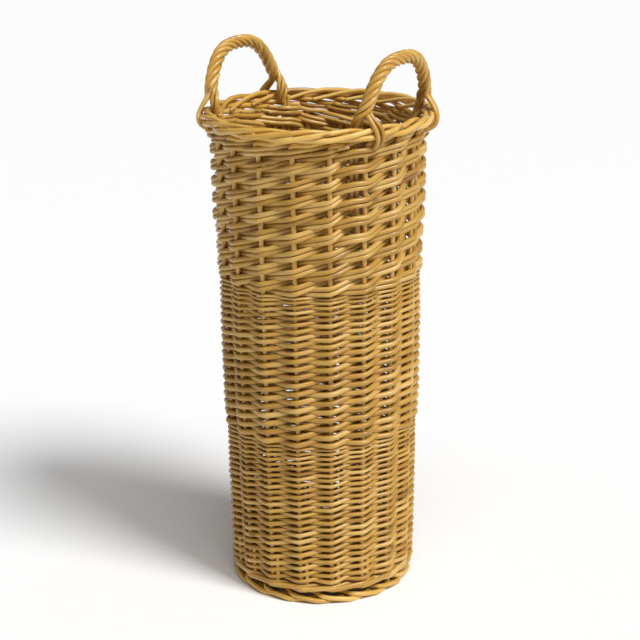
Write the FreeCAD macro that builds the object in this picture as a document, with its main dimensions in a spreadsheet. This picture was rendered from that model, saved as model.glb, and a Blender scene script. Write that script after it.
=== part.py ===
import FreeCAD, Part
import math
import os

import Sketcher

# Willow umbrella stand: a tall, slightly flaring basket on 18 side stakes.
# Frame: millimetres, +Z up, origin on the floor under the middle of the base,
# X through the middles of the two handles. The whole stand repeats every half turn.

Vector = FreeCAD.Vector

SIZES = {
    # the circle of side stakes, which widens evenly from the floor up
    "stake_count": 18,
    "stake_diameter": 6.0,
    "first_stake_angle": 10,
    "wall_floor_radius": 109.6,
    "wall_slope": 0.0213,
    "wall_half_thickness": 7.9,
    "gap": 0.35,
    # base, inside the foot
    "base_height": 24,
    "base_thickness": 11.0,
    "base_weave_inner_radius": 31,
    "base_weave_outer_radius": 98.5,
    "stick_diameter": 5.2,
    "stick_reach": 98,
    "stick_pitch": 5.6,
    "stick_lead": 6.5,
    "split_stick_pitch": 7.6,
    "eye_width": 6.8,
    "eye_height": 12.0,
    "eye_length": 42,
    "slot_height": 5.9,
    "slot_length": 29.5,
    "slath_half_width": 25,
    "tail_radius": 77,
    # courses of weaving, by the height of their lower and upper edges
    "upsett_bottom": 20,
    "upsett_top": 33,
    "lower_weave_top": 212,
    "middle_weave_top": 403,
    "upper_weave_top": 579.5,
    # border, made of the stakes' own upper ends
    "flare_height": 566,
    "elbow_radius": 128.5,
    "elbow_height": 583.2,
    "border_radius": 132,
    "border_height": 584.5,
    # foot, made of 18 short rods pushed up beside the side stakes
    "foot_rod_diameter": 6.0,
    "foot_rod_lead": 3.8,
    "foot_rod_top": 58,
    "foot_bend_height": 15.8,
    "foot_radius": 109.2,
    # handles
    "bow_diameter": 6.2,
    "bow_end_height": 470,
    "bow_leg_angle": 34.4,
    "bow_leg_radius": 117,
    "bow_leg_height": 552,
    "bow_bend_height": 601,
    "arch_half_width": 78,
    "arch_rise": 82.4,
    "arch_base_height": 590,
    "arch_base_reach": 105.5,
    "arch_lean": 10.7,
    "wrap_diameter": 17.2,
    "wrap_foot_height": 610,
    "lashing_diameter": 4.6,
    "lashing_reach": 144.9,
    "lashing_angle": 26.5,
    "lashing_upper_height": 605.6,
    "lashing_lower_height": 577.5,
    "lashing_inner_radius": 112,
    # block that levels the foot
    "floor_block_side": 400,
    "floor_block_depth": 20,
}

# Way of one stake through the border: bays past its own stake, then steps outward from the
# border circle and up from the border's height. A step is one rod and the gap beside it.
BORDER_COURSE = (
    (0.45, -0.83, -0.16),
    (1.0, -1.09, 0.69),
    (1.5, 0.20, 1.01),
    (2.0, 1.01, 1.05),
    (2.5, 1.12, 1.75),
    (3.0, 0.55, 2.30),
    (3.5, -0.20, 2.50),
    (4.0, -0.95, 2.15),
    (4.5, -1.30, 1.50),
)

# Way of one foot rod: bays past its own stake, steps outward from the foot circle, and steps
# up from the floor to the rod's centre line.
FOOT_COURSE = (
    (0.70, -0.81, 2.79),
    (1.20, -1.12, 1.69),
    (1.70, 0.11, 1.60),
    (2.20, 0.61, 1.20),
    (2.70, 0.35, 0.48),
    (3.20, -0.46, 0.41),
    (3.65, -1.40, 0.41),
)
# Way of a lashing over the border, from the wrap's foot: degrees back towards the handle's
# leg, radius from the border circle, and height from its level run over the border.
LASHING_COURSE = ((4, -6, 0), (0, 5, 0))
LASHING_CORNER = 7  # drop from the level run over the border to the upright run outside it
LASHING_TUCK = 4  # rise from the level run under the border to the upright run outside it

ROUNDING = 0.45  # share of the shorter run that the bend between two runs takes up
STAKE_SETBACK = 10  # no bend in a stake or a base stick starts further from its corner
FOOT_SETBACK = 9  # nor in a foot rod
STRAIGHT = math.radians(0.2)  # runs that turn by less than this are left without a bend
LEVEL = 0.5  # a rod that starts with less rise than this along it counts as level
ARCH_STEPS = 16
ARCH_WIDTH_POWER = 0.6
ARCH_RISE_POWER = 2.2

doc = FreeCAD.newDocument("umbrella_stand")
sheet = doc.addObject("Spreadsheet::Sheet", "Sizes")
for row, (alias, value) in enumerate(SIZES.items(), start=1):
    sheet.set(f"A{row}", alias)
    sheet.set(f"B{row}", str(value))
    sheet.setAlias(f"B{row}", alias)
doc.recompute()

subparts = []


def size(alias):
    return float(sheet.get(alias))


def polar(angle, radius, height):
    turn = math.radians(angle)
    return Vector(radius * math.cos(turn), radius * math.sin(turn), height)


def wall_radius(height):
    return size("wall_floor_radius") + size("wall_slope") * height


def stake_angle(number):
    return size("first_stake_angle") + number * bay


def rounded_edges(points, longest_setback=math.inf):
    """Straight runs through the points, with a tangent arc in place of each corner."""
    edges = []
    start = points[0]
    for before, corner, after in zip(points, points[1:], points[2:]):
        arriving = (corner - before).normalize()
        leaving = (after - corner).normalize()
        half_turn = arriving.getAngle(leaving) / 2
        if half_turn < STRAIGHT:
            continue
        shorter = min((corner - before).Length, (after - corner).Length)
        setback = min(ROUNDING * shorter, longest_setback)
        radius = setback / math.tan(half_turn)
        inward = (leaving - arriving).normalize()
        bend_start = corner - arriving * setback
        bend_middle = corner + inward * (radius / math.cos(half_turn) - radius)
        bend_end = corner + leaving * setback
        edges.append(Part.LineSegment(start, bend_start).toShape())
        edges.append(Part.Arc(bend_start, bend_middle, bend_end).toShape())
        start = bend_end
    edges.append(Part.LineSegment(start, points[-1]).toShape())
    return edges


def add_path(name, edges):
    path = doc.addObject("Part::Feature", name)
    path.Shape = Part.Wire(edges)
    return path


def add_rod(name, path, diameter):
    """A round rod along a path. diameter is an expression on the sheet."""
    first = path.Shape.OrderedEdges[0]
    start = first.valueAt(first.FirstParameter)
    along = first.tangentAt(first.FirstParameter)
    # the tube's seam starts on top of a level rod and on the inner side of a standing one
    seam = Vector(0, 0, 1) if abs(along.z) < LEVEL else Vector(-start.x, -start.y, 0)
    section = doc.addObject("Part::Circle", f"{name}_section")
    section.setExpression("Radius", f"({diameter}) / 2")
    facing = FreeCAD.Rotation(seam, Vector(), along, "ZXY")
    section.Placement = FreeCAD.Placement(start, facing)
    rod = doc.addObject("Part::Sweep", name)
    rod.Sections = [section]
    rod.Spine = (path, [f"Edge{n}" for n in range(1, len(path.Shape.Edges) + 1)])
    rod.Solid = True
    rod.Frenet = False
    return rod


def add_room(path, diameter):
    """The room that a rod needs in the weaving around it."""
    return add_rod(f"{path.Name}_room", path, f"{diameter} + 2 * Sizes.gap")


def add_cut(name, base, tool):
    cut = doc.addObject("Part::Cut", name)
    cut.Base = base
    cut.Tool = tool
    return cut


def add_group(name, links):
    group = doc.addObject("Part::Compound", name)
    group.Links = links
    return group


def add_box(name, length, width, height, placement):
    box = doc.addObject("Part::Box", name)
    box.setExpression("Length", length)
    box.setExpression("Width", width)
    box.setExpression("Height", height)
    box.Placement = placement
    return box


def keep(subpart, label):
    subpart.Label = label
    subparts.append(subpart)


def origin_plane(body, role):
    return next(f for f in body.Origin.OriginFeatures if f.Role == role)


def add_ring(name, corners):
    """A ring turned about Z. Each corner of its section is an expression for radius and height."""
    body = doc.addObject("PartDesign::Body", name)
    sketch = body.newObject("Sketcher::SketchObject", f"{name}_section")
    sketch.AttachmentSupport = [(origin_plane(body, "XZ_Plane"), "")]
    sketch.MapMode = "FlatFace"
    # drawn as a rough square first: the expressions then bring each corner to its place
    near, far, tall = 100, 120, 20
    rough = [Vector(near, 0, 0), Vector(far, 0, 0), Vector(far, tall, 0), Vector(near, tall, 0)]
    for start, end in zip(rough, rough[1:] + rough[:1]):
        sketch.addGeometry(Part.LineSegment(start, end), False)
    for line in range(len(rough)):
        following = (line + 1) % len(rough)
        sketch.addConstraint(Sketcher.Constraint("Coincident", line, 2, following, 1))
    for line, (radius, height) in enumerate(corners):
        across = sketch.addConstraint(
            Sketcher.Constraint("DistanceX", -1, 1, line, 1, rough[line].x)
        )
        sketch.setExpression(f"Constraints[{across}]", radius)
        upward = sketch.addConstraint(
            Sketcher.Constraint("DistanceY", -1, 1, line, 1, rough[line].y + 1)
        )
        sketch.setExpression(f"Constraints[{upward}]", height)
    doc.recompute()
    turned = body.newObject("PartDesign::Revolution", f"{name}_turned")
    turned.Profile = sketch
    turned.ReferenceAxis = (origin_plane(body, "Z_Axis"), [""])
    turned.Angle = 360
    body.Tip = turned
    return body


def wall_corner(side, height):
    """A corner of the wall's section, on its outer (+) or inner (-) face."""
    radius = (
        f"Sizes.wall_floor_radius + Sizes.wall_slope * ({height})"
        f" {side} Sizes.wall_half_thickness"
    )
    return radius, height


def add_course(label, bottom, top, room):
    """A course of wall weaving, with room for every rod that stands in it."""
    blank = add_ring(
        f"{label}_blank",
        [
            wall_corner("-", bottom),
            wall_corner("+", bottom),
            wall_corner("+", top),
            wall_corner("-", top),
        ],
    )
    keep(add_cut(f"{label}_course", blank, room), label)


def stake_edges(number):
    """From inside the base, up the wall, and round the border to the stake's tip."""
    angle = stake_angle(number)
    step = size("stake_diameter") + size("gap")
    base, flare = size("base_height"), size("flare_height")
    standing = [
        polar(angle, size("tail_radius"), base),
        polar(angle, wall_radius(base), base),
        polar(angle, wall_radius(flare), flare),
        polar(angle, size("elbow_radius"), size("elbow_height")),
    ]
    course = [
        polar(
            angle + bays * bay,
            size("border_radius") + outward * step,
            size("border_height") + upward * step,
        )
        for bays, outward, upward in BORDER_COURSE
    ]
    return rounded_edges(standing + course, longest_setback=STAKE_SETBACK)


def foot_rod_edges(number):
    """Down beside a stake, behind the next rod, out in front of the one after, and under."""
    angle = stake_angle(number) + size("foot_rod_lead")
    step = size("foot_rod_diameter") + size("gap")
    bend = size("foot_bend_height")
    points = [
        polar(angle, wall_radius(size("foot_rod_top")), size("foot_rod_top")),
        polar(angle, wall_radius(bend), bend),
    ]
    points += [
        polar(
            stake_angle(number) + bays * bay,
            size("foot_radius") + outward * step,
            upward * step,
        )
        for bays, outward, upward in FOOT_COURSE
    ]
    return rounded_edges(points, longest_setback=FOOT_SETBACK)


def stick_edges(heading, offset, near_angle, far_angle):
    """A base stick: straight through the slath, then fanned out to its two ends."""
    reach, half, base = size("stick_reach"), size("slath_half_width"), size("base_height")
    along = polar(heading, 1, 0)
    sideways = polar(heading + 90, 1, 0)
    middle = sideways * offset + Vector(0, 0, base)
    points = [
        polar(near_angle, reach, base),
        middle - along * half,
        middle + along * half,
        polar(far_angle, reach, base),
    ]
    return rounded_edges(points, longest_setback=STAKE_SETBACK)


def arch_points():
    """Centre line of a handle's arch, from its right foot over to its left foot."""
    points = []
    for n in range(ARCH_STEPS + 1):
        turn = math.pi * (n / ARCH_STEPS - 0.5)
        side = math.copysign(abs(math.sin(turn)) ** ARCH_WIDTH_POWER, turn)
        rise = max(math.cos(turn), 0) ** ARCH_RISE_POWER
        height = size("arch_base_height") + size("arch_rise") * rise
        if height > size("wrap_foot_height"):
            reach = size("arch_base_reach") + size("arch_lean") * rise
            points.append(Vector(reach, size("arch_half_width") * side, height))
    return points


def turned_about(points, half_turns):
    turn = FreeCAD.Rotation(Vector(0, 0, 1), 180 * half_turns)
    return [turn.multVec(p) for p in points]


def leg_points(side):
    """A bow's leg, from its end in the weaving up past the inside of the border."""
    angle = side * size("bow_leg_angle")
    end = size("bow_end_height")
    return [
        polar(angle, wall_radius(end), end),
        polar(angle, size("bow_leg_radius"), size("bow_leg_height")),
        polar(angle, size("bow_leg_radius"), size("bow_bend_height")),
    ]


def lashing_points(side):
    """A strand from the wrap's foot, laid over the border and in under it through the wall."""
    angle = side * size("lashing_angle")
    border, reach = size("border_radius"), size("lashing_reach")
    over, under = size("lashing_upper_height"), size("lashing_lower_height")
    points = [
        polar(angle + back * side, border + outward, over + upward)
        for back, outward, upward in LASHING_COURSE
    ]
    points += [
        polar(angle, reach, over - LASHING_CORNER),
        polar(angle, reach, under + LASHING_TUCK),
        polar(angle, border + LASHING_TUCK, under),
        polar(angle, size("lashing_inner_radius"), under),
    ]
    return points


bay = 360 / size("stake_count")
count = int(size("stake_count"))

# Side stakes
stake_rooms = []
for number in range(count):
    path = add_path(f"stake_path_{number + 1:02}", stake_edges(number))
    keep(
        add_rod(f"stake_{number + 1:02}", path, "Sizes.stake_diameter"),
        f"side_stake_{number + 1:02}",
    )
    stake_rooms.append(add_room(path, "Sizes.stake_diameter"))

# Foot rods, levelled underneath so that the stand rests on 18 small flats
side, depth = size("floor_block_side"), size("floor_block_depth")
floor_block = add_box(
    "floor_block",
    "Sizes.floor_block_side",
    "Sizes.floor_block_side",
    "Sizes.floor_block_depth",
    FreeCAD.Placement(Vector(-side / 2, -side / 2, -depth), FreeCAD.Rotation()),
)
foot_rooms = []
for number in range(count):
    label = f"foot_rod_{number + 1:02}"
    path = add_path(f"foot_path_{number + 1:02}", foot_rod_edges(number))
    rod = add_rod(f"{label}_round", path, "Sizes.foot_rod_diameter")
    keep(add_cut(f"{label}_levelled", rod, floor_block), label)
    foot_rooms.append(add_room(path, "Sizes.foot_rod_diameter"))

# Base sticks: five pushed through the split middles of four
stick_turn = size("first_stake_angle") + size("stick_lead")
stick_rooms = []
for number in range(5):
    lane = number - 2
    edges = stick_edges(
        stick_turn,
        lane * size("stick_pitch"),
        stick_turn + 180 - lane * bay,
        stick_turn + lane * bay,
    )
    path = add_path(f"through_path_{number + 1}", edges)
    keep(
        add_rod(f"through_stick_{number + 1}", path, "Sizes.stick_diameter"),
        f"through_base_stick_{number + 1}",
    )
    stick_rooms.append(add_room(path, "Sizes.stick_diameter"))
for number in range(4):
    lane = number - 1.5
    offset = lane * size("split_stick_pitch")
    edges = stick_edges(
        stick_turn + 90,
        -offset,
        stick_turn - 90 + lane * bay,
        stick_turn + 90 - lane * bay,
    )
    path = add_path(f"split_path_{number + 1}", edges)
    rod = add_rod(f"split_stick_{number + 1}_rod", path, "Sizes.stick_diameter")
    spin = FreeCAD.Rotation(Vector(0, 0, 1), stick_turn)
    eye_corner = Vector(
        offset - size("eye_width") / 2,
        -size("eye_length") / 2,
        size("base_height") - size("eye_height") / 2,
    )
    eye = add_box(
        f"split_stick_{number + 1}_eye",
        "Sizes.eye_width",
        "Sizes.eye_length",
        "Sizes.eye_height",
        FreeCAD.Placement(spin.multVec(eye_corner), spin),
    )
    whole = doc.addObject("Part::MultiFuse", f"split_stick_{number + 1}_whole")
    whole.Shapes = [rod, eye]
    slot_corner = Vector(
        offset - size("eye_width"),
        -size("slot_length") / 2,
        size("base_height") - size("slot_height") / 2,
    )
    slot = add_box(
        f"split_stick_{number + 1}_slot",
        "2 * Sizes.eye_width",
        "Sizes.slot_length",
        "Sizes.slot_height",
        FreeCAD.Placement(spin.multVec(slot_corner), spin),
    )
    keep(add_cut(f"split_stick_{number + 1}", whole, slot), f"split_base_stick_{number + 1}")
    stick_rooms.append(add_room(path, "Sizes.stick_diameter"))

# Handles: a bow in each, with its rope of strands, and a lashing at each leg
bow_rooms = []
lashing_rooms = []
for half in range(2):
    handle = f"handle_{half + 1}"
    arch = arch_points()
    whole_bow = leg_points(-1) + arch + leg_points(1)[::-1]
    bow_path = add_path(f"{handle}_bow_path", rounded_edges(turned_about(whole_bow, half)))
    keep(add_rod(f"{handle}_bow_rod", bow_path, "Sizes.bow_diameter"), f"{handle}_bow")
    bow_room = add_room(bow_path, "Sizes.bow_diameter")
    bow_rooms.append(bow_room)
    wrap_path = add_path(f"{handle}_wrap_path", rounded_edges(turned_about(arch, half)))
    rope = add_rod(f"{handle}_rope", wrap_path, "Sizes.wrap_diameter")
    keep(add_cut(f"{handle}_rope_hollow", rope, bow_room), f"{handle}_wrap")
    for side, end in ((-1, "right"), (1, "left")):
        edges = rounded_edges(turned_about(lashing_points(side), half))
        path = add_path(f"{handle}_{end}_lashing_path", edges)
        keep(
            add_rod(f"{handle}_{end}_lashing_rod", path, "Sizes.lashing_diameter"),
            f"{handle}_{end}_lashing",
        )
        lashing_rooms.append(add_room(path, "Sizes.lashing_diameter"))

# Weaving: the base first, then the courses of the wall
base_room = add_group("base_room", stake_rooms + stick_rooms)
base_blank = add_ring(
    "base_weave_blank",
    [
        ("Sizes.base_weave_inner_radius", "Sizes.base_height - Sizes.base_thickness / 2"),
        ("Sizes.base_weave_outer_radius", "Sizes.base_height - Sizes.base_thickness / 2"),
        ("Sizes.base_weave_outer_radius", "Sizes.base_height + Sizes.base_thickness / 2"),
        ("Sizes.base_weave_inner_radius", "Sizes.base_height + Sizes.base_thickness / 2"),
    ],
)
keep(add_cut("base_weave_disc", base_blank, base_room), "base_weave")

wall_room = add_group("wall_room", stake_rooms + foot_rooms)
top_room = add_group("top_room", stake_rooms + bow_rooms + lashing_rooms)
add_course("upsett_wale", "Sizes.upsett_bottom", "Sizes.upsett_top - Sizes.gap", wall_room)
add_course("lower_weave", "Sizes.upsett_top", "Sizes.lower_weave_top - Sizes.gap", wall_room)
add_course(
    "middle_weave", "Sizes.lower_weave_top", "Sizes.middle_weave_top - Sizes.gap", wall_room
)
add_course("upper_weave", "Sizes.middle_weave_top", "Sizes.upper_weave_top", top_room)

doc.recompute()
for item in doc.Objects:
    if "Invalid" in item.State or "Error" in item.State:
        raise RuntimeError(f"{item.Name} did not compute: {item.State}")
for subpart in subparts:
    shape = subpart.Shape
    if shape.isNull() or not shape.isValid() or len(shape.Solids) != 1:
        raise RuntimeError(f"{subpart.Label} is not one valid solid")

os.makedirs("parts", exist_ok=True)
for subpart in subparts:
    subpart.Shape.exportStep(f"parts/{subpart.Label}.step")
    box = subpart.Shape.BoundBox
    print(f"{subpart.Label:24} {subpart.Shape.Volume:11.0f} mm3  z {box.ZMin:7.2f} to {box.ZMax:7.2f}")
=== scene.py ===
import math

import bpy
import numpy as np
from mathutils import Euler, Matrix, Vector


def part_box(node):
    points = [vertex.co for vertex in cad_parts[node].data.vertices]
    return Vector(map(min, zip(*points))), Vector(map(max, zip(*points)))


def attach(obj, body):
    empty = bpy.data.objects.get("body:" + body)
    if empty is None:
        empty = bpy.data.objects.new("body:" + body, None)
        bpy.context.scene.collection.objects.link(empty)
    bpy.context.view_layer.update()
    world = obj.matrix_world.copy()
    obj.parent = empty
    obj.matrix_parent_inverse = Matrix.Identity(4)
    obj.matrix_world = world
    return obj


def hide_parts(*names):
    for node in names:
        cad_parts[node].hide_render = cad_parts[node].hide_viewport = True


# A willow umbrella stand: every rod of the weave, the border, the foot and the handles as its
# own tapering tube. Paths are worked out in millimetres and turned to metres in the meshes.

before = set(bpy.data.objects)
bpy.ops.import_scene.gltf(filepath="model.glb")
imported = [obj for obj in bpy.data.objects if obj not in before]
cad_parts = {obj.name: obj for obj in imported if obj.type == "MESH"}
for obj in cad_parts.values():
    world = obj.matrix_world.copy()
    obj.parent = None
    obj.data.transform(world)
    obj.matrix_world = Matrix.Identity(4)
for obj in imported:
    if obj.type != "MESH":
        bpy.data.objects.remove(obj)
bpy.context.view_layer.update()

MM = 0.001
SEED = 20
rng = np.random.default_rng(SEED)


def box_mm(node):
    low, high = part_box(node)
    return np.array(low) / MM, np.array(high) / MM


def heights(node):
    low, high = box_mm(node)
    return low[2], high[2]


# ---------------------------------------------------------------- the wall's shape

STAKES = sum(name.startswith("side_stake_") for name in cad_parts)
BAY = 360 / STAKES
FIRST_STAKE = 10
STAKE_RADIUS = 3.0
WALL_HALF_THICKNESS = 7.9
BORDER_RADIUS = 132
BORDER_HEIGHT = 584.5
FLARE_HEIGHT = 566
UPSETT_DROP = 5.5  # how far the upsett lies below its CAD band, over the foot border
LOWER_BOTTOM = heights("lower_weave")[0] - UPSETT_DROP
LOWER_TOP = heights("lower_weave")[1]
MIDDLE_TOP = heights("middle_weave")[1]
UPPER_TOP = BORDER_HEIGHT + 2.5  # the last row is pressed up into the border


def crown_radius(node):
    """The radius of a course of weaving at its upper edge, on the line of the stakes."""
    return box_mm(node)[1][0] - WALL_HALF_THICKNESS


WALL_WIDENING = crown_radius("middle_weave") - crown_radius("lower_weave")
WALL_SLOPE = WALL_WIDENING / (MIDDLE_TOP - LOWER_TOP)
FLOOR_RADIUS = crown_radius("lower_weave") - WALL_SLOPE * LOWER_TOP
ELBOW_RADIUS = 128.5  # where a stake turns out of the wall into the border
ELBOW_HEIGHT = 583.2
FLARE = (ELBOW_RADIUS - FLOOR_RADIUS - WALL_SLOPE * FLARE_HEIGHT) / (ELBOW_HEIGHT - FLARE_HEIGHT)


def wall_radius(height):
    """The radius of the ring of stakes, which leans out a little more under the border."""
    flared = np.maximum(height - FLARE_HEIGHT, 0)
    return FLOOR_RADIUS + WALL_SLOPE * np.minimum(height, FLARE_HEIGHT) + FLARE * flared


def polar(angle, radius, height):
    turn = np.radians(angle)
    return np.stack(np.broadcast_arrays(radius * np.cos(turn), radius * np.sin(turn), height), -1)


def stake_angle(number):
    return FIRST_STAKE + number * BAY


# ---------------------------------------------------------------- rods


class Rod:
    """A path in millimetres with a radius at each point, and a tone of its own.

    floor is a height that the rod is pressed flat at, and squash thins it from above.
    """

    def __init__(self, points, radii, tone=None, floor=None, squash=1.0):
        self.points = np.asarray(points, float)
        self.radii = np.broadcast_to(radii, len(self.points)).astype(float)
        self.tone = rod_tone() if tone is None else tone
        self.floor = floor
        self.squash = squash


TONE_MIDDLE = 0.52
TONE_SPREAD = 0.16


def rod_tone():
    return float(np.clip(rng.normal(TONE_MIDDLE, TONE_SPREAD), 0, 1))


def soften(values, width):
    """Rounds the corners of evenly spaced samples. width is the blur in samples."""
    reach = int(3 * width) + 1
    kernel = np.exp(-0.5 * (np.arange(-reach, reach + 1) / width) ** 2)
    kernel /= kernel.sum()
    lead_in = 2 * values[0] - values[reach:0:-1]
    run_out = 2 * values[-1] - values[-2 : -reach - 2 : -1]
    padded = np.concatenate([lead_in, values, run_out])
    return np.stack([np.convolve(padded[:, k], kernel, "valid") for k in range(3)], -1)


FEWEST_POINTS = 12


def through(knots, step=2.2, width=1.6):
    """A rod's path through the knots: straight runs sampled evenly, then softened."""
    knots = np.asarray(knots, float)
    along = length_along(knots)
    count = max(int(along[-1] / step), FEWEST_POINTS)
    even = np.linspace(0, along[-1], count)
    path = np.stack([np.interp(even, along, knots[:, k]) for k in range(3)], -1)
    return soften(path, width)


def wander(count, size, period):
    """Slow random drift, for the unevenness of a grown rod."""
    knots = max(int(count / period) + 2, 3)
    drift = rng.normal(0, size, knots)
    return np.interp(np.linspace(0, knots - 1, count), np.arange(knots), drift)


THICKNESS_WANDER = 0.025
WANDER_PERIOD = 10  # in points along the rod


def uneven(radii):
    return radii * (1 + wander(len(radii), THICKNESS_WANDER, WANDER_PERIOD))


def length_along(points):
    steps = np.linalg.norm(np.diff(points, axis=0), axis=1)
    return np.concatenate([[0], np.cumsum(steps)])


def side_frames(points):
    """Tangents and two directions across them, carried along the path without twisting."""
    tangents = np.gradient(points, axis=0)
    tangents /= np.linalg.norm(tangents, axis=1)[:, None]
    side = np.cross(tangents[0], (0.0, 0.0, 1.0))
    if np.linalg.norm(side) < 0.1:
        side = np.cross(tangents[0], (1.0, 0.0, 0.0))
    sides = np.empty_like(points)
    for n, tangent in enumerate(tangents):
        side = side - tangent * (side @ tangent)
        side /= np.linalg.norm(side)
        sides[n] = side
    return tangents, sides, np.cross(tangents, sides)


def tube(rod, sides):
    """Corners, faces, and the place of every corner in the rod's own straight space."""
    points, radii = rod.points, rod.radii
    count = len(points)
    first, second = side_frames(points)[1:]
    around = np.linspace(0, 2 * math.pi, sides, endpoint=False)
    along = length_along(points)
    across = np.cos(around)[None, :, None] * first[:, None]
    upward = np.sin(around)[None, :, None] * second[:, None]
    offsets = (across + upward) * radii[:, None, None]
    offsets[..., 2] *= rod.squash
    corners = points[:, None] + offsets
    if rod.floor is not None:
        corners[..., 2] = np.maximum(corners[..., 2], rod.floor)
    place = np.empty((count, sides, 3))
    place[..., 0] = along[:, None]
    place[..., 1] = radii[:, None] * np.cos(around)
    place[..., 2] = radii[:, None] * np.sin(around)
    ring = np.arange(sides)
    ahead = (ring + 1) % sides
    rows = np.arange(count - 1)[:, None] * sides
    quads = np.stack(
        [rows + ring, rows + ahead, rows + sides + ahead, rows + sides + ring], -1
    ).reshape(-1, 4)
    caps = [ring[::-1].tolist(), ((count - 1) * sides + ring).tolist()]
    return corners.reshape(-1, 3), quads, caps, place.reshape(-1, 3)


GRAIN_SHIFT = 900  # moves every rod to its own part of the grain, in millimetres


def add_rods(name, rods, material, nodes, sides=10):
    """One piece made of many rods, standing for the CAD nodes named."""
    corners, faces, cut, places, tones = [], [], [], [], []
    start = 0
    for rod in rods:
        points, quads, caps, place = tube(rod, sides)
        corners.append(points)
        faces += [[start + k for k in face] for face in quads.tolist() + caps]
        cut += [0.0] * len(quads) + [1.0] * len(caps)
        places.append(place + rng.random(3) * GRAIN_SHIFT)
        tones.append(np.full(len(points), rod.tone))
        start += len(points)
    mesh = bpy.data.meshes.new(name)
    mesh.from_pydata((np.concatenate(corners) * MM).tolist(), [], faces)
    mesh.attributes.new("rod_place", "FLOAT_VECTOR", "POINT").data.foreach_set(
        "vector", (np.concatenate(places) * MM).ravel()
    )
    mesh.attributes.new("rod_tone", "FLOAT", "POINT").data.foreach_set(
        "value", np.concatenate(tones)
    )
    mesh.attributes.new("rod_cut", "FLOAT", "FACE").data.foreach_set("value", cut)
    mesh.shade_smooth()
    mesh.materials.append(material)
    piece = bpy.data.objects.new(name, mesh)
    bpy.context.collection.objects.link(piece)
    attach(piece, "root")
    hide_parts(*nodes)
    return piece


# ---------------------------------------------------------------- materials


KNOT_BROWN = (0.16, 0.075, 0.022)
CUT_WOOD = (0.72, 0.56, 0.30)
COAT = {"Coat Weight": 0.5, "Coat Roughness": 0.22, "Specular IOR Level": 0.3}
PATCH_SCALE, PATCH_STRETCH, PATCH_DETAIL = 38, 2.2, 3
STREAK_SCALE, STREAK_STRETCH, STREAK_DETAIL = 520, 16, 4
TONE_SHARE, PATCH_SHARE, STREAK_SHARE, STREAK_MIDDLE = 0.42, 0.62, 0.34, -0.19
RAMP_STOPS = (0.18, 0.5, 0.82)
KNOT_SCALE, KNOT_STRETCH = 58, 0.35
KNOT_EDGE, KNOT_CORE = 0.15, 0.06  # distance from a knot's middle, in cells
KNOT_STRENGTH, CUT_STRENGTH = 0.8, 0.75
STREAK_ROUGHNESS = 0.28
BUMP_STRENGTH, BUMP_DISTANCE = 0.35, 0.0004
STREAK_BUMP, KNOT_BUMP = 0.7, 0.9


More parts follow.
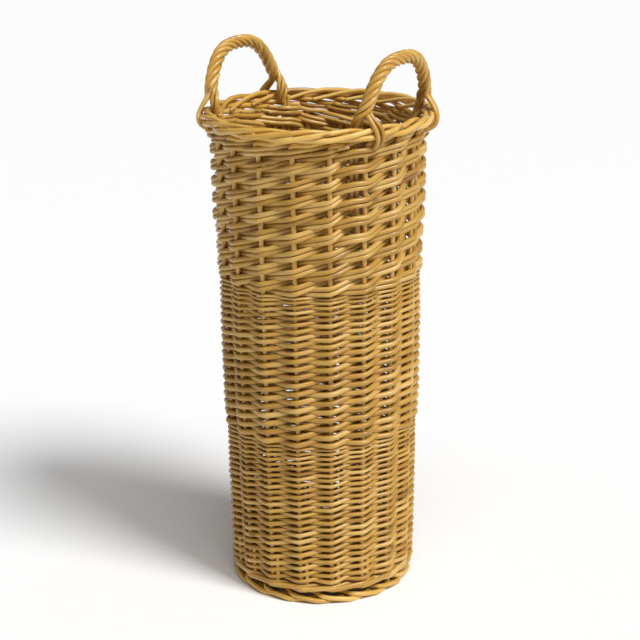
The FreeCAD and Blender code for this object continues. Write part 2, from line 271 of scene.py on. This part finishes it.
def willow(name, dark, middle, light, roughness):
    """Peeled buff willow: a tone for each rod, long streaks, knots, and a satin skin."""
    material = bpy.data.materials.new(name)
    material.use_nodes = True
    tree = material.node_tree
    tree.nodes.clear()
    new = tree.nodes.new
    link = tree.links.new
    output = new("ShaderNodeOutputMaterial")
    shader = new("ShaderNodeBsdfPrincipled")
    link(shader.outputs[0], output.inputs[0])

    def attribute(which):
        node = new("ShaderNodeAttribute")
        node.attribute_name = which
        return node

    place = attribute("rod_place").outputs["Vector"]
    tone = attribute("rod_tone").outputs["Fac"]
    cut = attribute("rod_cut").outputs["Fac"]

    def noise(scale, stretch, detail):
        mapping = new("ShaderNodeMapping")
        mapping.inputs["Scale"].default_value = (1 / stretch, 1, 1)
        link(place, mapping.inputs["Vector"])
        texture = new("ShaderNodeTexNoise")
        texture.inputs["Scale"].default_value = scale
        texture.inputs["Detail"].default_value = detail
        link(mapping.outputs[0], texture.inputs["Vector"])
        return texture.outputs["Fac"]

    def maths(operation, *values):
        node = new("ShaderNodeMath")
        node.operation = operation
        for socket, value in zip(node.inputs, values):
            if isinstance(value, (int, float)):
                socket.default_value = value
            else:
                link(value, socket)
        return node.outputs[0]

    def mix(factor, first, second):
        node = new("ShaderNodeMix")
        node.data_type = "RGBA"
        link(factor, node.inputs["Factor"])
        for socket, value in (("A", first), ("B", second)):
            if isinstance(value, tuple):
                node.inputs[socket].default_value = (*value, 1)
            else:
                link(value, node.inputs[socket])
        return node.outputs["Result"]

    patches = noise(PATCH_SCALE, PATCH_STRETCH, PATCH_DETAIL)
    streaks = noise(STREAK_SCALE, STREAK_STRETCH, STREAK_DETAIL)
    mixed = maths("MULTIPLY_ADD", tone, TONE_SHARE, maths("MULTIPLY", patches, PATCH_SHARE))
    mixed = maths("ADD", mixed, maths("MULTIPLY_ADD", streaks, STREAK_SHARE, STREAK_MIDDLE))

    ramp = new("ShaderNodeValToRGB")
    stops = ramp.color_ramp.elements
    stops[0].position, stops[1].position = RAMP_STOPS[0], RAMP_STOPS[2]
    stops[0].color, stops[1].color = (*dark, 1), (*light, 1)
    stops.new(RAMP_STOPS[1]).color = (*middle, 1)
    link(mixed, ramp.inputs[0])

    # knots: small brown eyes, far apart along the rod
    knot_place = new("ShaderNodeMapping")
    knot_place.inputs["Scale"].default_value = (KNOT_STRETCH, 1, 1)
    link(place, knot_place.inputs["Vector"])
    cells = new("ShaderNodeTexVoronoi")
    cells.inputs["Scale"].default_value = KNOT_SCALE
    link(knot_place.outputs[0], cells.inputs["Vector"])
    knot = new("ShaderNodeMapRange")
    knot.inputs["From Min"].default_value = KNOT_EDGE
    knot.inputs["From Max"].default_value = KNOT_CORE
    link(cells.outputs["Distance"], knot.inputs["Value"])
    knot = knot.outputs[0]
    skin = mix(maths("MULTIPLY", knot, KNOT_STRENGTH), ramp.outputs[0], KNOT_BROWN)
    skin = mix(maths("MULTIPLY", cut, CUT_STRENGTH), skin, CUT_WOOD)
    link(skin, shader.inputs["Base Color"])
    link(maths("MULTIPLY_ADD", streaks, STREAK_ROUGHNESS, roughness), shader.inputs["Roughness"])

    bump = new("ShaderNodeBump")
    bump.inputs["Strength"].default_value = BUMP_STRENGTH
    bump.inputs["Distance"].default_value = BUMP_DISTANCE
    relief = maths("MULTIPLY_ADD", streaks, STREAK_BUMP, maths("MULTIPLY", knot, KNOT_BUMP))
    link(relief, bump.inputs["Height"])
    link(bump.outputs[0], shader.inputs["Normal"])
    for socket, value in COAT.items():
        shader.inputs[socket].default_value = value
    return material


WEAVER_WILLOW = willow(
    "weaver_willow", (0.25, 0.104, 0.012), (0.51, 0.284, 0.047), (0.77, 0.525, 0.185), 0.30
)
STAKE_WILLOW = willow(
    "stake_willow", (0.33, 0.143, 0.015), (0.66, 0.380, 0.066), (0.90, 0.62, 0.200), 0.30
)
HANDLE_WILLOW = willow(
    "handle_willow", (0.32, 0.140, 0.016), (0.58, 0.325, 0.056), (0.81, 0.55, 0.175), 0.28
)


# ---------------------------------------------------------------- wall weaving

SAMPLES_PER_BAY = 12
BOW_RADIUS = 3.1
BOW_END = 470
LEG_BEND = 552
LEG_RADIUS = 117
BOW_ANGLE = 34.4
BUTT_ANGLE = 37.3
BEHIND_LIFT = 0.4  # how far a weaver climbs behind a stake, in its own radii
LEG_REACH = 5.5  # how far a leg is from its stake, in degrees, for the weavers passing it
LEG_BAYS = (0.18, 0.42)  # where a weaver starts and ends its run past a leg
FRONT_SLACK = 0.9  # room between a weaver and what it passes, before it and behind it
BACK_SLACK = 0.2
ROW_WANDER = 0.35
WEAVE_SOFTNESS = 1.15


def leg_radius(height):
    """The radius at which a handle's leg stands, in the weaving and inside the border."""
    return np.interp(height, [BOW_END, LEG_BEND], [wall_radius(BOW_END), LEG_RADIUS])


def leg_beside(stake):
    """Which way a handle's leg stands from a stake, as a sign, or 0 where there is none."""
    for handle in (0, 180):
        for side in (1, -1):
            gap = (handle + side * BOW_ANGLE - stake_angle(stake) + 180) % 360 - 180
            if abs(gap) < LEG_REACH:
                return int(np.sign(gap))
    return 0


def pass_by(start, stops, sides, levels, radii, drift):
    """Corners of a weaver's path: where it is level with each stake, and with a leg beside it.

    sides gives in front of a stake (1) or behind it (-1), in turn.
    """
    corners = []
    for stop, level, radius, shift in zip(stops, levels, radii, drift):
        stake = (start + stop) % STAKES
        side = sides[stop % len(sides)]
        height = level + shift + (0 if side > 0 else BEHIND_LIFT * radius)
        slack = FRONT_SLACK if side > 0 else BACK_SLACK
        out = STAKE_RADIUS + radius + slack
        here = [(stop, polar(stake_angle(start + stop), wall_radius(height) + side * out, height))]
        beside = leg_beside(stake)
        if beside and height > BOW_END:
            for bays in LEG_BAYS:
                angle = stake_angle(start + stop + beside * bays)
                by_leg = leg_radius(height) + side * (BOW_RADIUS + radius + slack)
                by_wall = wall_radius(height) + side * out
                clear = max(by_leg, by_wall) if side > 0 else min(by_leg, by_wall)
                here.append((stop + beside * bays, polar(angle, clear, height)))
        corners += here
    return sorted(corners, key=lambda corner: corner[0])


def weave(start, first, last, sides, level_at, radius_at):
    """A weaver's path from bay to bay, with its radius at each point."""
    stops = np.arange(math.floor(first), math.ceil(last) + 1)
    drift = rng.normal(0, ROW_WANDER, len(stops))
    corners = pass_by(start, stops, sides, level_at(stops), radius_at(stops), drift)
    at = [corner[0] for corner in corners]
    places = np.array([corner[1] for corner in corners])
    bays = np.arange(first, last, 1 / SAMPLES_PER_BAY)
    path = np.stack([np.interp(bays, at, places[:, k]) for k in range(3)], -1)
    return soften(path, WEAVE_SOFTNESS), uneven(radius_at(bays))


THINNEST_WEAVER = 1.6
BAND_EDGE = 0.15  # share of its usual rise that a rod makes over the first and last bay
UPPER_BAND_EDGE = 0.4
UPPER_BAND_GAP = 1.5  # between the middle band and the pairs above it
THICKNESS_SPREAD = 0.04
WEAVER_START = -1.3  # in bays from the rod's first stroke, behind the stake before
WEAVER_ENDS = (1.5, 1.25)  # in bays past the last stroke, for each strand


def french_band(bottom, top, first_pitch, last_pitch, bend, strands, fill, edge=BAND_EDGE):
    """Rods started at every stake in turn, all working up and to the right together.

    The pitch of a stroke shrinks as the rods taper from butt to tip, late where bend is
    high. strands lie one above the other, and each rod fills its share of half a pitch.
    """
    half = strands * fill / 4
    mean_pitch = first_pitch - (first_pitch - last_pitch) / (bend + 1)
    room = top - bottom - half * (first_pitch + last_pitch) - edge * last_pitch
    strokes = round(room / mean_pitch)
    stops = np.arange(-2, 2 * strokes + 4)
    share = np.clip((stops + 0.5) / (2 * strokes), 0, 1)
    rise = (last_pitch + (first_pitch - last_pitch) * (1 - share**bend)) / 2
    rise *= room / rise[2 : 2 + 2 * strokes].sum()
    half_pitch = rise.copy()
    rise[1] *= edge
    rise[2 + 2 * strokes] *= edge
    levels = np.concatenate([[0], np.cumsum(rise)[:-1]])
    levels += bottom + half * first_pitch - levels[2]

    rods = []
    for stake in range(STAKES):
        for strand in range(strands):
            thickness = rng.normal(1, THICKNESS_SPREAD)
            lift = strand - (strands - 1) / 2

            def radius_at(bays):
                filling = np.interp(bays, stops, half_pitch) * fill / 2
                return np.maximum(filling, THINNEST_WEAVER) * thickness

            def level_at(bays):
                return np.interp(bays, stops, levels) + lift * 2 * radius_at(bays) / thickness

            end = 2 * strokes + WEAVER_ENDS[strand]
            rods.append(Rod(*weave(stake, WEAVER_START, end, (1, -1), level_at, radius_at)))
    return rods


def add_band(name, rods, node, per_piece):
    """The rods of a band, a few neighbours to a piece."""
    for n, start in enumerate(range(0, len(rods), per_piece), start=1):
        add_rods(f"{name}_{n}", rods[start : start + per_piece], WEAVER_WILLOW, [node])


lower_rods = french_band(LOWER_BOTTOM, LOWER_TOP, 9.3, 5.8, 2.2, 1, 1.2)
middle_rods = french_band(LOWER_TOP, MIDDLE_TOP, 11.2, 4.8, 2.4, 1, 1.2)
upper_rods = french_band(
    MIDDLE_TOP + UPPER_BAND_GAP, UPPER_TOP, 21.0, 19.0, 1, 2, 0.58, edge=UPPER_BAND_EDGE
)
add_band("lower_weavers", lower_rods, "lower_weave", 6)
add_band("middle_weavers", middle_rods, "middle_weave", 6)
add_band("upper_weavers", upper_rods, "upper_weave", 12)


# ---------------------------------------------------------------- upsett

WALE_RODS = 3
WALE_ROUNDS = 2
WALE_RADIUS = 2.3
WALE_TAPER = (1.06, 0.9)
WALE_EDGES = 3.6  # the wale's thickness beyond its rise, in radii
WALE_LIFT = (0, 1.6, 0.6, 0)  # over one stroke of three bays, in radii
WALE_START, WALE_END = -0.8, 0.2


def upsett():
    """Three rods, each passing in front of two stakes and behind one, round and round."""
    low, high = (z - UPSETT_DROP for z in heights("upsett_wale"))
    bays_round = WALE_ROUNDS * STAKES
    rise = (high - low - WALE_EDGES * WALE_RADIUS) / bays_round
    rods = []
    for start in range(WALE_RODS):

        def level_at(bays):
            lift = np.interp(bays % WALE_RODS, range(WALE_RODS + 1), WALE_LIFT)
            return low + WALE_RADIUS + rise * (bays + start) + lift * WALE_RADIUS

        def radius_at(bays):
            return WALE_RADIUS * np.interp(bays, (0, bays_round), WALE_TAPER)

        last = bays_round + WALE_END
        rods.append(Rod(*weave(start, WALE_START, last, (1, 1, -1), level_at, radius_at)))
    return rods


add_rods("upsett_rods", upsett(), WEAVER_WILLOW, ["upsett_wale"])


# ---------------------------------------------------------------- stakes and border

BORDER_STEP = 6.35
BORDER_WANDER = 0.2
STAKE_TAPER = ((0, 0.66, 0.76, 0.9, 1), (3.1, 3.0, 3.3, 3.1, 2.3))  # share of length, radius
# A stake in the border: bays past its place in the wall, then steps outward and upward.
BORDER_COURSE = (
    (0.45, -0.83, -0.16),
    (1.0, -1.09, 0.69),
    (1.5, 0.20, 1.01),
    (2.0, 0.93, 1.05),
    (2.5, 0.94, 1.75),
    (3.0, 0.55, 2.30),
    (3.5, -0.20, 2.50),
    (4.0, -1.0, 2.0),
    (4.5, -1.60, 1.25),
    (4.85, -1.90, 0.75),
)
BASE_HEIGHT = sum(heights("base_weave")) / 2
TAIL_RADIUS = 77


def stake(number):
    """From inside the base, up the wall and round the border, thinning to the tip."""
    angle = stake_angle(number)
    standing = [
        polar(angle, TAIL_RADIUS, BASE_HEIGHT),
        polar(angle, wall_radius(BASE_HEIGHT), BASE_HEIGHT),
        polar(angle, wall_radius(FLARE_HEIGHT), FLARE_HEIGHT),
        polar(angle, ELBOW_RADIUS, ELBOW_HEIGHT),
    ]
    course = [
        polar(
            angle + bays * BAY,
            BORDER_RADIUS + outward * BORDER_STEP + rng.normal(0, BORDER_WANDER),
            BORDER_HEIGHT + upward * BORDER_STEP + rng.normal(0, BORDER_WANDER),
        )
        for bays, outward, upward in BORDER_COURSE
    ]
    path = through(standing + course)
    share = np.linspace(0, 1, len(path))
    return Rod(path, uneven(np.interp(share, *STAKE_TAPER)))


STAKES_PER_PIECE = 6
for group in range(STAKES // STAKES_PER_PIECE):
    numbers = range(group * STAKES_PER_PIECE, (group + 1) * STAKES_PER_PIECE)
    add_rods(
        f"stakes_{group + 1}",
        [stake(n) for n in numbers],
        STAKE_WILLOW,
        [f"side_stake_{n + 1:02}" for n in numbers],
        sides=14,
    )


# ---------------------------------------------------------------- foot

FOOT_RADIUS = 109.2
FOOT_STEP = 6.35
FOOT_LEAD = 3.8
FOOT_TOP = 58
FOOT_BEND = 15.8
FOOT_TAPER = (2.7, 3.2)
# A foot rod under the base: bays past its stake, then steps outward and up from the floor.
FOOT_COURSE = (
    (0.60, -1.10, 2.75),
    (1.15, -1.50, 2.10),
    (1.48, -1.15, 1.50),
    (1.66, 0.30, 1.45),
    (2.05, 0.62, 1.12),
    (2.60, 0.62, 0.52),
    (3.05, -0.25, 0.46),
    (3.50, -1.40, 0.46),
)


def foot_rod(number):
    """Down beside a stake, through the upsett, and round under the base."""
    angle = stake_angle(number) + FOOT_LEAD
    knots = [polar(angle, wall_radius(z), z) for z in (FOOT_TOP, FOOT_BEND)]
    for bays, outward, upward in FOOT_COURSE:
        turned = stake_angle(number) + bays * BAY
        knots.append(polar(turned, FOOT_RADIUS + outward * FOOT_STEP, upward * FOOT_STEP))
    path = through(knots)
    return Rod(path, uneven(np.linspace(*FOOT_TAPER, len(path))), floor=0)


add_rods(
    "foot_border",
    [foot_rod(n) for n in range(STAKES)],
    STAKE_WILLOW,
    [f"foot_rod_{n + 1:02}" for n in range(STAKES)],
    sides=14,
)


# ---------------------------------------------------------------- base

STICK_RADIUS = 2.6
STICK_REACH = 98
STICK_LEAD = 6.5
STICK_TURN = FIRST_STAKE + STICK_LEAD
SLATH_HALF_WIDTH = 25
THROUGH_PITCH = 5.6
SPLIT_PITCH = 7.6
BASE_WEAVER_RADIUS = 1.65
THROUGH_LANES = (-2, -1, 0, 1, 2)
SPLIT_LANES = (-1.5, -0.5, 0.5, 1.5)
SHOULDER = 0.65  # share of the slath's half width over which a split stick stays open
SHOULDER_LIFT = 0.25
SPLIT_LIFT = STICK_RADIUS + 1.4
SPLIT_SQUASH = 0.62
FIRST_ROUND_GAP = 7.5
CROSSING_BAY, OUTER_CROSSING_BAY = 0.5, 0.33
CROSSING_OFFSET = 0.45  # of a weaver's radius
BASE_STEP, BASE_SOFTNESS = 3.2, 0.9


def base_stick(offset, heading, near_angle, far_angle, lift):
    """Straight through the slath, fanned out to its two ends. lift parts a split stick."""
    along = polar(heading, 1, 0)
    middle = polar(heading + 90, offset, BASE_HEIGHT)
    up = np.array((0, 0, lift))
    shoulder = SHOULDER * SLATH_HALF_WIDTH
    return through(
        [
            polar(near_angle, STICK_REACH, BASE_HEIGHT),
            middle - along * SLATH_HALF_WIDTH + up * SHOULDER_LIFT,
            middle - along * shoulder + up,
            middle + along * shoulder + up,
            middle + along * SLATH_HALF_WIDTH + up * SHOULDER_LIFT,
            polar(far_angle, STICK_REACH, BASE_HEIGHT),
        ]
    )


def base_sticks():
    rods = []
    for lane in THROUGH_LANES:
        near, far = STICK_TURN + 180 - lane * BAY, STICK_TURN + lane * BAY
        path = base_stick(lane * THROUGH_PITCH, STICK_TURN, near, far, 0)
        rods.append(Rod(path, uneven(np.full(len(path), STICK_RADIUS))))
    for lane in SPLIT_LANES:
        heading = STICK_TURN + 90
        near, far = STICK_TURN - 90 - lane * BAY, heading + lane * BAY
        for lift in (SPLIT_LIFT, -SPLIT_LIFT):
            path = base_stick(lane * SPLIT_PITCH, heading, near, far, lift)
            radii = uneven(np.full(len(path), STICK_RADIUS))
            rods.append(Rod(path, radii, squash=SPLIT_SQUASH))
    return rods


def base_round(radius, strand):
    """A round of pairing: over one stick, under the next, twisting with its partner."""
    corners = []
    for bay in range(STAKES + 1):
        side = 1 if (bay + strand) % 2 else -1
        height = BASE_HEIGHT + side * (STICK_RADIUS + BASE_WEAVER_RADIUS)
        stick = STICK_TURN + bay * BAY
        by_tail = radius > TAIL_RADIUS
        if by_tail:
            corners.append(polar(stick - STICK_LEAD, radius, height))
        corners.append(polar(stick, radius, height))
        crossing = stick + BAY * (OUTER_CROSSING_BAY if by_tail else CROSSING_BAY)
        offset = side * CROSSING_OFFSET * BASE_WEAVER_RADIUS
        corners.append(polar(crossing, radius + offset, BASE_HEIGHT))
    path = through(corners, step=BASE_STEP, width=BASE_SOFTNESS)
    return Rod(path, uneven(np.full(len(path), BASE_WEAVER_RADIUS)))


def base_weavers():
    inner = SLATH_HALF_WIDTH + FIRST_ROUND_GAP
    outer = box_mm("base_weave")[1][0] - BASE_WEAVER_RADIUS
    rounds = int((outer - inner) / (2 * BASE_WEAVER_RADIUS))
    radii = np.linspace(inner, outer, rounds)
    return [base_round(radius, strand) for radius in radii for strand in (0, 1)]


STICKS = [f"through_base_stick_{n + 1}" for n in range(len(THROUGH_LANES))]
STICKS += [f"split_base_stick_{n + 1}" for n in range(len(SPLIT_LANES))]
add_rods("base_sticks", base_sticks(), STAKE_WILLOW, STICKS, sides=12)
add_rods("base_weavers", base_weavers(), WEAVER_WILLOW, ["base_weave"], sides=7)


# ---------------------------------------------------------------- handles

ARCH_STEPS = 160
ARCH_HALF_WIDTH = 78
ARCH_BASE = 590
ARCH_REACH = 105.5
ARCH_LEAN = 10.7
ARCH_WIDTH_POWER = 0.6
ARCH_RISE_POWER = 2.2
STRANDS = 5
STRAND_RADIUS = 3.0
TWIST_RADIUS = 5.8
TWIST_LEAD = 56
ARCH_RISE = box_mm("handle_1_wrap")[1][2] - TWIST_RADIUS - STRAND_RADIUS - ARCH_BASE
ARCH_FOOT = 622  # below this the rope bends in from the arch to its foot inside the border
# The rope's centre line at its feet: angle from the handle's middle, radius and height.
ROPE_FEET = ((33.9, 122.5, 611), (34.4, 116.5, 601), (34.4, 114.5, 588))
LASHING_ANGLE = 26.5
OUTER_STRAND_ANGLE = 35.5
LASHING_START = 621
OUTER_START = 625
LASHING_SPREAD = 1.25  # half the angle between the two strands over the border
LASHING_LEAD = 5.0  # how far back towards the leg they leave the rope, in degrees
BOW_FOOT_TOP = 578
BUTT_TOP = 597
BUTT_END = 505
BUTT_RADIUS = 2.6
ROPE_SOFTNESS = 3.0
STRAND_STEP, STRAND_SOFTNESS = 2.0, 2.2
ROPE_NARROWING = ((0, 18), (0.8, 1))  # distance from the rope's end, share of its radius
STRAND_TAPER = ((0, 12, 42, 58), (1.6, 2.4, 2.5, STRAND_RADIUS))  # distance from tip, radius
# A strand over the border: share of its lead, radius, height, and share of its spread.
OVER_BORDER = (
    (0.75, 131.5, 615, 0.6),
    (0.40, 136, 608.5, 1.0),
    (0.15, 140.3, 602.5, 1.3),
    (0, 143.2, 595.5, 1.25),
    (0, 143.4, 588, 1.05),
    (0, 139.8, 582, 0.9),
    (0, 131, 578, 0.7),
    (0, 117, 577, 0.7),
)


def rope_line():
    """Centre line of the rope of the handle at +X, from its right foot to its left one."""
    turn = np.linspace(-math.pi / 2, math.pi / 2, ARCH_STEPS + 1)
    rise = np.maximum(np.cos(turn), 0) ** ARCH_RISE_POWER
    across = ARCH_HALF_WIDTH * np.sign(turn) * np.abs(np.sin(turn)) ** ARCH_WIDTH_POWER
    line = np.stack([ARCH_REACH + ARCH_LEAN * rise, across, ARCH_BASE + ARCH_RISE * rise], -1)
    right = [polar(-angle, r, z) for angle, r, z in ROPE_FEET]
    left = [polar(angle, r, z) for angle, r, z in ROPE_FEET]
    arch = line[line[:, 2] > ARCH_FOOT]
    return through(right[::-1] + list(arch) + left, width=ROPE_SOFTNESS)


def leg(side, angle, top, bottom):
    levels = [z for z in (top, LEG_BEND, bottom) if z >= bottom]
    return [polar(side * angle, leg_radius(z), z) for z in levels]


def over_border(side, angle, lead, spread):
    """A strand laid over the border and in under it, at the angle given."""
    return [
        polar(side * (angle + lead * back + spread * apart), radius, height)
        for back, radius, height, apart in OVER_BORDER
    ]


def strand(rope, line, side, way):
    """A strand's path from the top of the arch to one foot, way being where it ends."""
    half = len(rope) // 2
    here = slice(half, None) if side > 0 else slice(half, None, -1)
    rope, line = rope[here], line[here]
    if way == "inside":
        return list(rope)
    if way == "outer":
        leave = line[:, 2] > OUTER_START
        return list(rope[leave]) + over_border(side, OUTER_STRAND_ANGLE, 0, 0)
    leave = line[:, 2] > LASHING_START
    spread = LASHING_SPREAD if way == "near" else -LASHING_SPREAD
    return list(rope[leave]) + over_border(side, LASHING_ANGLE, LASHING_LEAD, spread)


def ways_at(ropes, line, side):
    """Where each strand goes at a foot: two over the border on the opening side, one over it
    outside the left leg, and the rest down inside."""
    half = len(line) // 2
    here = range(half, len(line)) if side > 0 else range(half, -1, -1)
    leaving = next(n for n in here if line[n][2] < LASHING_START)
    toward_opening = [
        rope[leaving][0] - line[leaving][0] - side * (rope[leaving][1] - line[leaving][1])
        for rope in ropes
    ]
    order = np.argsort(toward_opening)[::-1].tolist()
    ways = {order[0]: "far", order[1]: "near"}
    if side > 0:
        outward = {n: ropes[n][leaving][0] for n in order[2:]}
        ways[max(outward, key=outward.get)] = "outer"
    return [ways.get(n, "inside") for n in range(STRANDS)]


def handle(half_turns):
    """The bow and the butts beside it, and the strands, for the handle at +X or at -X."""
    turn = np.array(Matrix.Rotation(math.pi * half_turns, 3, "Z"))
    line = rope_line()
    along = length_along(line)
    from_end = np.minimum(along, along[-1] - along)
    reach = np.interp(from_end, *ROPE_NARROWING) * TWIST_RADIUS
    first, second = side_frames(line)[1:]
    legs = [leg(side, BOW_ANGLE, BOW_FOOT_TOP, BOW_END) for side in (-1, 1)]
    bow_path = through(legs[0][::-1] + list(line) + legs[1])
    rods = [Rod(bow_path @ turn.T, uneven(np.full(len(bow_path), BOW_RADIUS)))]
    for side in (-1, 1):
        path = through(leg(side, BUTT_ANGLE, BUTT_TOP, BUTT_END))
        rods.append(Rod(path @ turn.T, uneven(np.full(len(path), BUTT_RADIUS))))
    ropes = []
    for number in range(STRANDS):
        phase = 2 * math.pi * (along / TWIST_LEAD + number / STRANDS)
        offset = np.cos(phase)[:, None] * first + np.sin(phase)[:, None] * second
        ropes.append(line + reach[:, None] * offset)
    ways = [ways_at(ropes, line, side) for side in (-1, 1)]
    strands = []
    for number, rope in enumerate(ropes):
        right = strand(rope, line, -1, ways[0][number])
        left = strand(rope, line, 1, ways[1][number])
        path = through(right[::-1] + left[1:], step=STRAND_STEP, width=STRAND_SOFTNESS)
        here = length_along(path)
        from_tip = np.minimum(here, here[-1] - here)
        radii = np.interp(from_tip, *STRAND_TAPER)
        strands.append(Rod(path @ turn.T, uneven(radii)))
    return rods, strands


for number, half_turns in ((1, 0), (2, 1)):
    bow, strands = handle(half_turns)
    name = f"handle_{number}"
    add_rods(f"{name}_bow_rod", bow, HANDLE_WILLOW, [f"{name}_bow"], sides=12)
    add_rods(
        f"{name}_strands",
        strands,
        HANDLE_WILLOW,
        [f"{name}_wrap", f"{name}_right_lashing", f"{name}_left_lashing"],
        sides=14,
    )


# ---------------------------------------------------------------- floor, light and camera

CAMERA_AZIMUTH = 34
CAMERA_DISTANCE = 1.887
CAMERA_HEIGHT = 0.969
CAMERA_PITCH = 18.57
CAMERA_ROLL = -0.61
CAMERA_LENS = 89.9
FLOOR_REACH = 12
FLOOR_PAPER = (0.92, 0.92, 0.92, 1)
FLOOR_ROUGHNESS = 0.9
SKY_STRENGTH = 0.2


def add_floor():
    mesh = bpy.data.meshes.new("floor")
    mesh.from_pydata(
        [(x * FLOOR_REACH, y * FLOOR_REACH, 0) for x, y in ((-1, -1), (1, -1), (1, 1), (-1, 1))],
        [],
        [(0, 1, 2, 3)],
    )
    floor = bpy.data.objects.new("floor", mesh)
    bpy.context.collection.objects.link(floor)
    paper = bpy.data.materials.new("white_paper")
    paper.use_nodes = True
    shader = paper.node_tree.nodes["Principled BSDF"]
    shader.inputs["Base Color"].default_value = FLOOR_PAPER
    shader.inputs["Roughness"].default_value = FLOOR_ROUGHNESS
    mesh.materials.append(paper)


def add_sky():
    world = bpy.data.worlds.new("studio")
    world.use_nodes = True
    sky = world.node_tree.nodes["Background"]
    sky.inputs["Color"].default_value = (1, 1, 1, 1)
    sky.inputs["Strength"].default_value = SKY_STRENGTH
    bpy.context.scene.world = world
    bpy.context.scene.view_settings.view_transform = "Standard"


def add_light(name, azimuth, elevation, spread, strength):
    """A far lamp, soft at its edges. Azimuth 0 comes from the front, -Y."""
    data = bpy.data.lights.new(name, "SUN")
    data.angle = math.radians(spread)
    data.energy = strength
    lamp = bpy.data.objects.new(name, data)
    aim = Euler((math.radians(90 - elevation), 0, math.radians(azimuth)))
    lamp.matrix_world = aim.to_matrix().to_4x4()
    bpy.context.collection.objects.link(lamp)


def add_camera():
    data = bpy.data.cameras.new("camera")
    data.sensor_width = 36
    data.lens = CAMERA_LENS
    camera = bpy.data.objects.new("camera", data)
    around = Matrix.Rotation(math.radians(CAMERA_AZIMUTH), 4, "Z")
    place = Matrix.Translation((0, -CAMERA_DISTANCE, CAMERA_HEIGHT))
    tilt = Matrix.Rotation(math.radians(90 - CAMERA_PITCH), 4, "X")
    roll = Matrix.Rotation(math.radians(CAMERA_ROLL), 4, "Z")
    camera.matrix_world = around @ place @ tilt @ roll
    bpy.context.collection.objects.link(camera)
    bpy.context.scene.camera = camera


add_floor()
add_sky()
add_light("key", CAMERA_AZIMUTH + 52, elevation=50, spread=20, strength=2.75)
add_light("top", CAMERA_AZIMUTH + 10, elevation=68, spread=30, strength=0.75)
add_camera()
